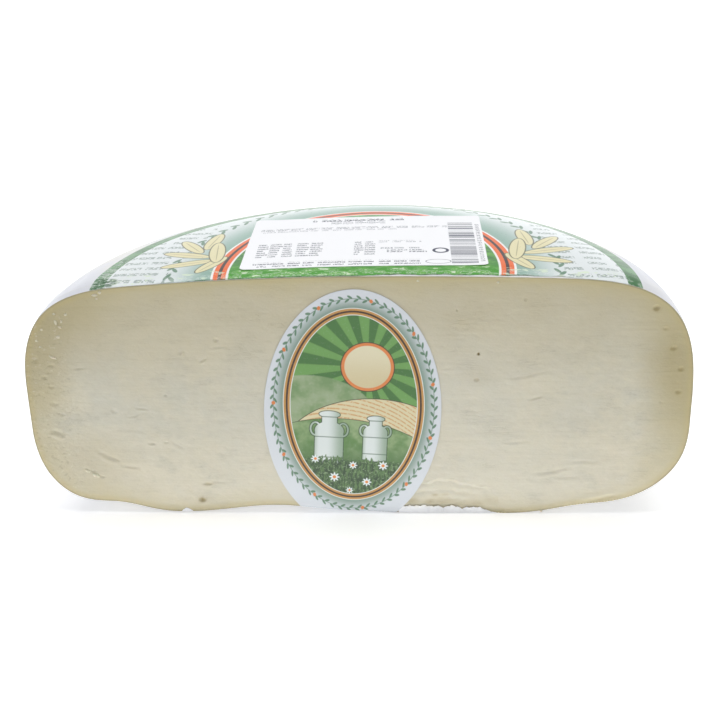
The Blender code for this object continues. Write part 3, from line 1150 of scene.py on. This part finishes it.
def lay_on(sheet, target, gap, thickness):
    """Drop the sheet onto the target from above, and give it its thickness."""
    apply_modifier(
        sheet,
        "SHRINKWRAP",
        target=target,
        wrap_method="PROJECT",
        use_project_z=True,
        use_negative_direction=True,
        use_positive_direction=False,
        wrap_mode="ABOVE_SURFACE",
        offset=gap,
    )
    thicken(sheet, thickness)


def thicken(sheet, thickness):
    apply_modifier(sheet, "SOLIDIFY", thickness=thickness, offset=1.0)
    smooth(sheet)


def turned_to(x, y, turn, middle_x, middle_y):
    """These places, turned by an angle and moved from the middle to another one."""
    cosine, sine = math.cos(turn), math.sin(turn)
    return middle_x + x * cosine - y * sine, middle_y + x * sine + y * cosine


def print_on(sheet, name):
    """Begin a finish whose vector is the flat print, in millimetres from its middle."""
    sheet.data.materials.clear()
    sheet.data.materials.append(bpy.data.materials.new(name))
    shader = begin_finish(sheet.data.materials[0])
    layout = node("ShaderNodeUVMap", "UV", {"uv_map": sheet.data.uv_layers[0].name})
    span = UV_SPAN / MM
    return shader, place_vector(layout, (-span / 2, -span / 2, 0), scale=(span, span, 0))


# %% [markdown]
# ## Round label
#
# The wheel had a round label under its last coat, and the knife cut it through the middle. The
# rows of a grid are bent into half circles to make the half disc. On the right the knife chipped
# the label, so its front edge stays about a millimetre behind the cut there.

# %% Round label
LABEL_RADIUS = 99.9 * MM
LABEL_X = 4.1 * MM


def front_gap(x):
    """How far behind the cut the label begins. x is in millimetres."""
    chipped = ease((x - 2.0) / 10.0) * (1.0 - ease((x - 72.0) / 12.0))
    ragged = 0.22 * np.sin(x / 2.3) + 0.16 * np.sin(x / 0.9 + 1.0) + 0.10 * np.sin(x / 0.47)
    return (0.14 + chipped * (0.85 + ragged)) * MM


round_sheet, across, up = flat_grid("printed_round", 190, 52)
turn = (1.0 - across) / 2.0 * math.pi
turn = turn - FINER_AT_CUT * np.sin(2.0 * turn)
out_from_middle = LABEL_RADIUS * (up + 1.0) / 2.0
x = LABEL_X + out_from_middle * np.cos(turn)
back = out_from_middle * np.sin(turn)
keep_layout(round_sheet, x - LABEL_X, back)
back = back + front_gap(x / MM) * (1.0 - ease(back / (8.0 * MM)))
move_points(round_sheet, np.column_stack([x, back + CUT_Y, np.full_like(x, DROP_FROM)]))
pick(round_sheet, "VERT", [True] * len(x))
edit(lambda: bpy.ops.mesh.remove_doubles(threshold=0.00001))
lay_on(round_sheet, cheese, 0.06 * MM, 0.10 * MM)
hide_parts("round_label")
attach(round_sheet, "root")
print("round label:", len(round_sheet.data.polygons), "faces")

# %% [markdown]
# Its print, from the middle outwards: a green field inside an oval ring of orange and black, a
# pale green glow, a round of small leaves, sprays of cream leaves, rows of small print, and a
# dark green band at the edge. Where the knife passed, white shows through cracks in the ink. The
# left end lies flat, and crumples are painted on it: their shade in dark green, and white where
# the ink wore through.

# %% Print on the round label
EMBLEM_Y, EMBLEM_HALF_WIDTH, EMBLEM_HALF_HEIGHT = 8.0, 55.5, 74.0
LEAF_STEPS, LEAF_PITCH = 72.0, 7.4

shader, flat = print_on(round_sheet, "round_print")
x, y, _ = axes_of(flat)
wide = join(abs(x), y)
from_emblem = oval(flat, 0.0, EMBLEM_Y, EMBLEM_HALF_WIDTH, EMBLEM_HALF_HEIGHT)
from_middle = oval(flat, 0.0, 0.0, 97.25, 97.25)
rubbed = speckle(flat, (0.16, 0.30, 0.0), 4.0, 0.65)
fibres = speckle(flat, (1.3, 1.3, 0.0), 3.0, 0.6)
creased = speckle(flat, (0.42, 0.85, 0.0), 3.0, 0.6, turn=(0.0, 0.0, 0.5))

glow = calc("SUBTRACT", 1.0, ramp(from_emblem, 0.0, 19.0), clamp=True)
printed = blend(glow * 0.80, (234, 240, 241), (116, 166, 146))
for side in (-1.0, 1.0):
    rows = rows_of_marks(flat, (side * 79.5, 33.0, 12.5, 38.0), 6.2, 2.6, side * 9.0, 0.9)
    printed = blend(rows * 0.62, printed, (92, 120, 106))
angle = calc("ARCTAN2", (y - EMBLEM_Y) / EMBLEM_HALF_HEIGHT, x / EMBLEM_HALF_WIDTH)
walked = angle * (LEAF_STEPS / 2.0 / math.pi) * LEAF_PITCH
leaf_place = join(repeated(walked, LEAF_PITCH), from_emblem - 15.5)
upper_leaf = oval(leaf_place, -0.9, 0.9, 2.3, 0.8, 28.0)
leaf = either(upper_leaf, oval(leaf_place, 1.2, -0.9, 2.3, 0.8, -28.0))
printed = blend(inked(leaf, 0.3) * 0.85, printed, (66, 122, 84))

field_tone = blend(ramp(y, 2.0, 22.0), (76, 158, 52), (62, 124, 62))
field_tone = blend(ramp(rubbed, 0.40, 0.66), field_tone, (112, 182, 76))
printed = blend(inked(from_emblem), printed, field_tone)
to_ring = abs(from_emblem + 3.2)
for half_width, colour in ((3.2, (250, 250, 248)), (2.35, (246, 116, 58)), (0.62, (66, 58, 58))):
    printed = blend(inked(to_ring - half_width, 0.2), printed, colour)
for leaf_x, leaf_y, half_length, half_width, turn in (
    (60.5, 44.0, 10.5, 2.9, 98.0),
    (68.0, 38.0, 10.0, 2.8, 60.0),
    (68.5, 28.0, 10.5, 2.8, 24.0),
    (66.0, 17.5, 10.5, 2.8, -14.0),
    (57.0, 15.0, 9.5, 2.8, -62.0),
    (57.0, 29.5, 12.5, 3.1, 84.0),
):
    leaf = oval(wide, leaf_x, leaf_y, half_length, half_width, turn)
    rib = oval(wide, leaf_x, leaf_y, half_length * 0.8, 0.22, turn)
    printed = layered(
        printed,
        (inked(leaf), (236, 228, 184)),
        (line(leaf, 0.26) * 0.85, (104, 104, 78)),
        (inked(rib) * 0.6, (150, 140, 96)),
    )

band_tone = blend(ramp(rubbed, 0.42, 0.62), (62, 116, 68), (98, 152, 98))
cracks = ramp(abs(rubbed - 0.5), 0.030, 0.006)
near_cut = ramp(y, 9.0, 1.0)
left_end = ramp(times_plus(y, 0.6, x), -66.0, -84.0)
crack_share = calc("MAXIMUM", near_cut * 0.45, left_end * 0.65)
scuffed = ramp(rubbed, 0.57, 0.61) * ramp(y, 10.0, 5.5)
lip = ramp(y, 0.9, 0.3) * ramp(rubbed, 0.42, 0.56) * inked(from_emblem - 16.0, 20.0)
# Painted shade: dark green patches at the left end stand for the shade of crumples, which the flat
# label does not have.
crumple_shade_painted = inked(oval(flat, -95.5, 3.2, 5.5, 4.0, 12.0), 1.2) * ramp(creased, 0.60, 0.44)
worn_through = inked(oval(flat, -93.0, 3.0, 8.5, 3.4), 1.5) * ramp(creased, 0.56, 0.63)
printed = layered(
    printed,
    (inked(abs(from_middle) - 2.65, 0.2), band_tone),
    (cracks * crack_share, (240, 243, 240)),
    (scuffed * 0.85, (226, 240, 216)),
    (lip * 0.8, (48, 96, 50)),
    (crumple_shade_painted * 0.85, (44, 92, 52)),
    (worn_through * 0.85, (238, 242, 240)),
)
set_inputs(
    shader,
    Base_Color=printed,
    Roughness=times_plus(fibres, 0.16, 0.22),
    Coat_Weight=0.35,
    Coat_Roughness=0.22,
    Normal=relief_of((fibres, 0.015), (rubbed, 0.06)),
)

# %% [markdown]
# ## Weight sticker
#
# The scale in the shop printed a paper sticker, which lies on the round label, turned by a
# degree. Paper is stiffer than the coating, so its corners stand up a little.

# %% Weight sticker
STICKER_X, STICKER_BACK, STICKER_TURN = 3.3 * MM, 40.0 * MM, math.radians(1.4)
STICKER_HALF_WIDTH, STICKER_HALF_DEPTH = 45.5 * MM, 32.25 * MM
CORNER_ROUND = 2.0 * MM
CORNER_LIFT, CORNER_REACH = 0.25 * MM, 9.0 * MM

sticker, across, up = flat_grid("scale_sticker", 90, 64)
flat_x, flat_y = across * STICKER_HALF_WIDTH, up * STICKER_HALF_DEPTH
corner_x = np.maximum(0.0, np.abs(flat_x) - STICKER_HALF_WIDTH + CORNER_ROUND) / CORNER_ROUND
corner_y = np.maximum(0.0, np.abs(flat_y) - STICKER_HALF_DEPTH + CORNER_ROUND) / CORNER_ROUND
longer = np.maximum(np.maximum(corner_x, corner_y), 1e-9)
squeeze = longer / np.maximum(np.hypot(corner_x, corner_y), 1e-9)
squeeze = np.where((corner_x > 0.0) & (corner_y > 0.0), squeeze, 1.0)
flat_x -= np.sign(flat_x) * corner_x * (1.0 - squeeze) * CORNER_ROUND
flat_y -= np.sign(flat_y) * corner_y * (1.0 - squeeze) * CORNER_ROUND
keep_layout(sticker, flat_x, flat_y)
x, back = turned_to(flat_x, flat_y, STICKER_TURN, STICKER_X, STICKER_BACK)
move_points(sticker, np.column_stack([x, back + CUT_Y, np.full_like(x, DROP_FROM)]))
lay_on(sticker, round_sheet, 0.04 * MM, 0.12 * MM)
lifted = points_of(sticker)
to_corner = np.hypot(
    np.abs(lifted[:, 0] - STICKER_X) - STICKER_HALF_WIDTH,
    np.abs(lifted[:, 1] - CUT_Y - STICKER_BACK) - STICKER_HALF_DEPTH,
)
lifted[:, 2] += CORNER_LIFT * (1.0 - ease(to_corner / CORNER_REACH))
move_points(sticker, lifted)
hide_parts("weight_sticker")
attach(sticker, "root")

# %% [markdown]
# A thermal printer leaves dark grey marks on white paper: a heading, a long row, a small table,
# two fields, two rows along the front, a block of bars, and two stamps. The bars have random
# widths, and the rows spell nothing.

# %% Print on the sticker
INK = (74, 78, 96)

shader, flat = print_on(sticker, "sticker_print")
x, y, _ = axes_of(flat)
fibres = speckle(flat, (1.8, 1.8, 0.0), 3.0, 0.65)
printed = blend(fibres, (250, 250, 252), (246, 247, 250))
for area, pitch, tall, shift, strength in (
    ((-3.5, 27.6, 18.5, 1.6), 3.2, 2.3, 0.4, 0.95),
    ((-3.5, 23.4, 11.0, 2.2), 2.2, 1.2, 0.0, 0.75),
    ((-5.0, 16.0, 37.0, 1.1), 2.2, 1.5, 1.5, 0.90),
    ((-14.0, 13.4, 27.0, 0.9), 1.8, 1.1, 0.8, 0.70),
    ((-28.5, -11.0, 12.5, 8.6), 2.45, 1.3, 0.5, 0.85),
    ((0.0, -11.0, 4.0, 8.6), 2.45, 1.3, 0.5, 0.85),
    ((13.0, -3.6, 8.5, 1.2), 2.4, 1.3, 1.0, 0.75),
    ((14.0, -12.2, 8.0, 1.3), 2.6, 1.4, 0.3, 0.80),
    ((15.5, -15.6, 8.5, 1.5), 3.0, 2.1, 0.6, 0.95),
    ((-10.0, -28.0, 31.0, 2.6), 2.6, 1.4, 0.2, 0.88),
    ((43.8, -5.0, 0.8, 24.0), 2.2, 1.3, 0.0, 0.70),
):
    rows = rows_of_marks(flat, area, pitch, tall, shift=shift)
    printed = blend(rows * strength, printed, INK)
bar = calc("FLOOR", y / 0.42)
bar_chance = node("ShaderNodeTexWhiteNoise", "Value", {"noise_dimensions": "1D"}, W=bar)
bars = calc("GREATER_THAN", bar_chance, 0.47) * inked(box(flat, 37.2, -4.4, 4.9, 26.0))
round_stamp = abs(oval(flat, 28.6, -15.2, 2.6, 2.6)) - 0.55
long_stamp = abs(oval(flat, 27.4, -28.0, 4.6, 2.3)) - 0.14
stamps = inked(either(round_stamp, long_stamp))
set_inputs(
    shader,
    Base_Color=layered(printed, (bars * 0.80, INK), (stamps, INK)),
    Roughness=times_plus(fibres, 0.10, 0.50),
    Normal=relief_of((fibres, 0.02)),
)

# %% [markdown]
# ## Oval label
#
# The squares of a grid are pressed into a disc and stretched into the oval. It lies on the cut,
# a little crooked. Its lowest eight millimetres had no room there, and were folded round the
# bottom edge and under the cheese. So a point keeps its place down to the fold, then goes round
# a quarter circle, and then backwards under the cheese.

# %% Oval label
OVAL_X, OVAL_Z, OVAL_TURN = -1.2 * MM, 43.2 * MM, math.radians(-3.7)
OVAL_HALF_WIDTH, OVAL_HALF_HEIGHT = 33.35 * MM, 50.02 * MM
OVAL_GAP, OVAL_THICKNESS, BEND = 0.12 * MM, 0.12 * MM, 0.45 * MM

oval_sheet, across, up = flat_grid("printed_oval", 96, 144)
disc_x, disc_y = across * np.sqrt(1.0 - up**2 / 2.0), up * np.sqrt(1.0 - across**2 / 2.0)
flat_x, flat_y = disc_x * OVAL_HALF_WIDTH, disc_y * OVAL_HALF_HEIGHT
keep_layout(oval_sheet, flat_x, flat_y)
x, z = turned_to(flat_x, flat_y, OVAL_TURN, OVAL_X, OVAL_Z)
fold = edge_lift(x, np.zeros_like(x)) + BEND - OVAL_GAP
past = np.maximum(0.0, fold - z)
bend_angle = np.minimum(past / BEND, math.pi / 2.0)
under = np.maximum(0.0, past - BEND * math.pi / 2.0)
back = BEND * (1.0 - np.cos(bend_angle)) + under - OVAL_GAP
z = np.where(past > 0.0, fold - BEND * np.sin(bend_angle), z)
underside = edge_lift(x, np.maximum(back, 0.0)) - OVAL_GAP
z = np.where(under > 0.0, np.maximum(underside, OVAL_THICKNESS), z)
waves = knife_waves(x / MM, z / MM) * MM * np.clip(1.0 - past / BEND, 0.0, 1.0)
move_points(oval_sheet, np.column_stack([x, back + CUT_Y + waves, z]))
face_normals_out(oval_sheet)
faces = oval_sheet.data.polygons
if np.mean([face.normal.y for face in faces if face.center.z > 20.0 * MM]) > 0.0:
    pick(oval_sheet, "FACE", [True] * len(faces))
    edit(bpy.ops.mesh.flip_normals)
thicken(oval_sheet, OVAL_THICKNESS)
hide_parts("oval_label")
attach(oval_sheet, "root")
print("oval label:", len(oval_sheet.data.polygons), "faces")

# %% [markdown]
# Its picture is a country morning: a sun with rays in two greens, hills, a strip of wheat, two
# white milk churns, and dark grass with daisies. A gold ring with a dark line frames it, and a
# garland of leaves runs round in the border.

# %% The frame on the oval label
RING_X, RING_Y, RING_HALF_WIDTH, RING_HALF_HEIGHT, RING_TURN = 0.39, 2.78, 25.2, 38.6, 1.5
GARLAND_STEPS, GARLAND_PITCH = 66, 3.54

shader, flat = print_on(oval_sheet, "oval_print")
x, y, _ = axes_of(flat)
from_ring = oval(flat, RING_X, RING_Y, RING_HALF_WIDTH, RING_HALF_HEIGHT, RING_TURN)
dots = speckle(flat, (0.9, 0.9, 0.0), 3.0, 0.6)
soft = speckle(flat, (0.11, 0.11, 0.0), 3.0, 0.55)
blades = speckle(flat, (1.1, 0.34, 0.0), 3.0, 0.65)

halo = calc("SUBTRACT", 1.0, ramp(from_ring, 0.8, 6.6), clamp=True)
border = blend(halo * 0.88, (216, 221, 227), (104, 138, 116))
angle = calc("ARCTAN2", (y - RING_Y) / RING_HALF_HEIGHT, (x - RING_X) / RING_HALF_WIDTH)
evened = times_plus(calc("SINE", angle * 2.0), 0.088, angle)
walked = evened * (GARLAND_STEPS * GARLAND_PITCH / 2.0 / math.pi)
outwards = from_ring - 5.0
leaf_place = join(repeated(walked, GARLAND_PITCH), outwards)
garland = either(
    oval(leaf_place, -0.50, 0.62, 1.15, 0.44, 33.0),
    oval(leaf_place, 0.62, -0.62, 1.15, 0.44, -33.0),
    abs(outwards) - 0.12,
)
berry = oval(join(repeated(walked, GARLAND_PITCH * 6.0), outwards), 0.0, 0.0, 0.72, 0.72)
border = layered(
    border, (inked(garland, 0.25) * 0.88, (66, 118, 78)), (inked(berry, 0.2), (222, 128, 62))
)

# %% [markdown]
# The picture is laid on from back to front, as a painter would: sky, sun, hills, wheat, meadow,
# churns, grass and flowers. Each step blends one more shape over what is there.

# %% The picture on the oval label
SUN_X, SUN_Y = 5.0, 19.5
spread = calc("ARCTAN2", y - SUN_Y, x - SUN_X)
rays = ramp(calc("SINE", spread * 16.0), -0.25, 0.25)
sun = oval(flat, SUN_X, SUN_Y, 8.6, 8.6)
sun_tone = blend(ramp(y, SUN_Y - 8.0, SUN_Y + 8.0), (214, 200, 158), (228, 220, 188))
hill_tone = blend(ramp(soft, 0.35, 0.65), (118, 150, 98), (156, 174, 136))
wheat = oval(flat, 9.0, -22.0, 37.0, 28.5)
rows = abs(repeated(times_plus(x, 0.35, wheat), 1.7))
ears = ramp(rows, 0.45, 0.15) * ramp(dots, 0.36, 0.52)
meadow = oval(flat, -4.0, -36.0, 47.0, 33.5)
meadow_tone = blend(ramp(soft, 0.38, 0.64), (92, 134, 70), (146, 170, 122))
picture = layered(
    blend(rays, (64, 116, 52), (108, 160, 82)),
    (inked(sun - 1.5, 0.2), (70, 52, 34)),
    (inked(sun - 1.15, 0.2), (224, 132, 66)),
    (inked(sun, 0.2), sun_tone),
    (inked(oval(flat, -16.0, -6.0, 27.0, 21.0), 0.5), hill_tone),
    (line(wheat, 0.28), (66, 60, 38)),
    (inked(wheat, 0.2), blend(ears * 0.75, (222, 211, 172), (204, 150, 84))),
    (line(meadow, 0.25), (66, 80, 46)),
    (inked(meadow, 0.3), blend(ramp(y, -10.0, -22.0), meadow_tone, (82, 120, 66))),
)


def churn(picture, churn_x, churn_y, size):
    """A milk churn with its lid and handles, standing on churn_y."""
    middle = churn_y + 8.0 * size
    body = either(
        box(flat, churn_x, middle - 1.6 * size, 4.0 * size, 5.6 * size) - 0.5,
        oval(flat, churn_x, middle + 4.1 * size, 4.5 * size, 3.2 * size),
        oval(flat, churn_x, middle - 6.8 * size, 4.5 * size, 1.5 * size),
        box(flat, churn_x, middle + 7.2 * size, 2.3 * size, 2.3 * size),
        oval(flat, churn_x, middle + 9.8 * size, 3.2 * size, 1.1 * size),
    )
    for side in (-1.0, 1.0):
        handle_x = churn_x + side * 4.3 * size
        loop = oval(flat, handle_x, middle + 4.6 * size, 1.5 * size, 2.2 * size)
        body = either(body, abs(loop) - 0.32)
    across = (x - churn_x) / (4.5 * size)
    hoops = [line(y - (middle + height * size), 0.22) for height in (1.9, -5.2, 8.9)]
    hoops = calc("MAXIMUM", calc("MAXIMUM", hoops[0], hoops[1]), hoops[2])
    tone = layered(
        blend(ramp(across, -0.2, 1.0), (222, 230, 228), (150, 172, 152)),
        (ramp(across, -0.65, -1.1), (176, 194, 178)),
        (hoops * 0.75, (92, 118, 96)),
    )
    return layered(picture, (line(body, 0.30, 0.3), (52, 78, 50)), (inked(body, 0.2), tone))


def daisy(picture, daisy_x, daisy_y, size):
    from_x, from_y = x - daisy_x, y - daisy_y
    petal = calc("COSINE", calc("ARCTAN2", from_y, from_x) * 8.0) * (0.42 * size)
    reach = length_of(from_x, from_y)
    flower, eye = reach - 1.45 * size - petal, reach - 0.60 * size
    return layered(
        picture, (inked(flower, 0.2), (226, 234, 234)), (inked(eye, 0.2), (226, 140, 60))
    )


picture = churn(picture, 9.0, -19.5, 1.0)
picture = churn(picture, -8.5, -22.5, 1.22)
grass_top = times_plus(blades, -11.0, y + 25.0)
grass_tone = blend(ramp(blades, 0.42, 0.62), (40, 68, 38), (88, 124, 70))
grass_tone = blend(ramp(dots, 0.54, 0.66), grass_tone, (122, 150, 104))
picture = blend(inked(grass_top, 0.8), picture, grass_tone)
for place in (
    (-13.5, -20.0, 0.95),
    (-6.0, -27.5, 1.1),
    (1.0, -22.0, 0.9),
    (6.5, -29.0, 1.0),
    (12.5, -21.5, 1.05),
    (0.0, -33.0, 0.8),
):
    picture = daisy(picture, *place)

printed = layered(
    blend(inked(from_ring), border, picture),
    (line(from_ring, 1.45), (228, 232, 226)),
    (line(from_ring, 1.15), (196, 144, 74)),
    (line(from_ring, 0.36), (62, 42, 26)),
    (ramp(dots, 0.55, 0.75) * 0.06, (255, 255, 255)),
)
set_inputs(
    shader,
    Base_Color=printed,
    Roughness=times_plus(dots, 0.14, 0.30),
    Coat_Weight=0.25,
    Coat_Roughness=0.25,
    Normal=relief_of((dots, 0.02), (soft, 0.12)),
)

# %% [markdown]
# ## Stage and light
#
# The cheese was photographed on white, under large soft lamps. The floor is almost white, and
# the world is white where the camera looks straight at it. Its light comes most from above and
# from behind, where it glances off the glossy top. The floor lights the cut from below, and a
# strip of light close to the floor helps it, because a real table spreads its light further.


# %% Stage and light
def soft_lamp(name, place, aim, width, height, power):
    bpy.ops.object.light_add(type="AREA", location=place)
    lamp = bpy.context.object
    lamp.name = name
    lamp.data.shape = "RECTANGLE"
    lamp.data.size, lamp.data.size_y = width, height
    lamp.data.energy = power
    lamp.rotation_euler = (Vector(aim) - Vector(place)).to_track_quat("-Z", "Y").to_euler()
    lamp.visible_camera = False


bpy.ops.mesh.primitive_plane_add(size=8.0, location=(0.0, 0.0, -0.1 * MM))
floor = bpy.context.object
floor.name = "floor"
floor.data.materials.append(bpy.data.materials.new("white_table"))
shader = begin_finish(floor.data.materials[0])
away = node("ShaderNodeVectorMath", "Value", {"operation": "LENGTH"}, Vector=object_place())
# The floor glows by itself, weakly next to the cheese and more strongly further off, so that it
# shows white and lights the cut from below.
set_inputs(
    shader,
    Base_Color=tint(250, 250, 250),
    Roughness=0.7,
    Emission_Color=(1.0, 1.0, 1.0, 1.0),
    Emission_Strength=times_plus(ramp(away, 0.3, 1.3), 0.6, 0.30),
)

soft_lamp("top_lamp", (0.0, 0.10, 1.3), (0.0, 0.05, 0.0), 2.0, 1.0, 13.0)
soft_lamp("front_lamp", (-0.5, -1.2, 0.8), (0.0, 0.0, 0.05), 0.9, 0.7, 0.52)
glow_y = CUT_Y - 26.0 * MM
soft_lamp("table_glow", (0.0, glow_y, 0.0005), (0.0, glow_y, 0.5), 0.40, 0.048, 0.036)

world = bpy.data.worlds.new("studio")
bpy.context.scene.world = world
world.use_nodes = True
begin(world.node_tree).nodes.clear()
_, ahead, upwards = axes_of(node("ShaderNodeTexCoord", "Generated"))
band = ramp(ahead, 0.25, 0.85) * ramp(upwards, 0.34, 0.12)
overhead = ramp(upwards, 0.2, 0.9) * 0.45
strength = times_plus(band, 1.1, overhead + 0.15)
choice = put("ShaderNodeMixShader", Fac=node("ShaderNodeLightPath", "Is Camera Ray"))
lights = (((0.98, 0.99, 1.0, 1.0), strength), ((1.0, 1.0, 1.0, 1.0), 1.05))
for socket, (colour, power) in zip(list(choice.inputs)[1:], lights):
    feed(socket, node("ShaderNodeBackground", Color=colour, Strength=power))
put("ShaderNodeOutputWorld", Surface=Signal(choice.outputs[0]))
bpy.context.scene.view_settings.view_transform = "Standard"

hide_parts("half_wheel")
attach(cheese, "root")
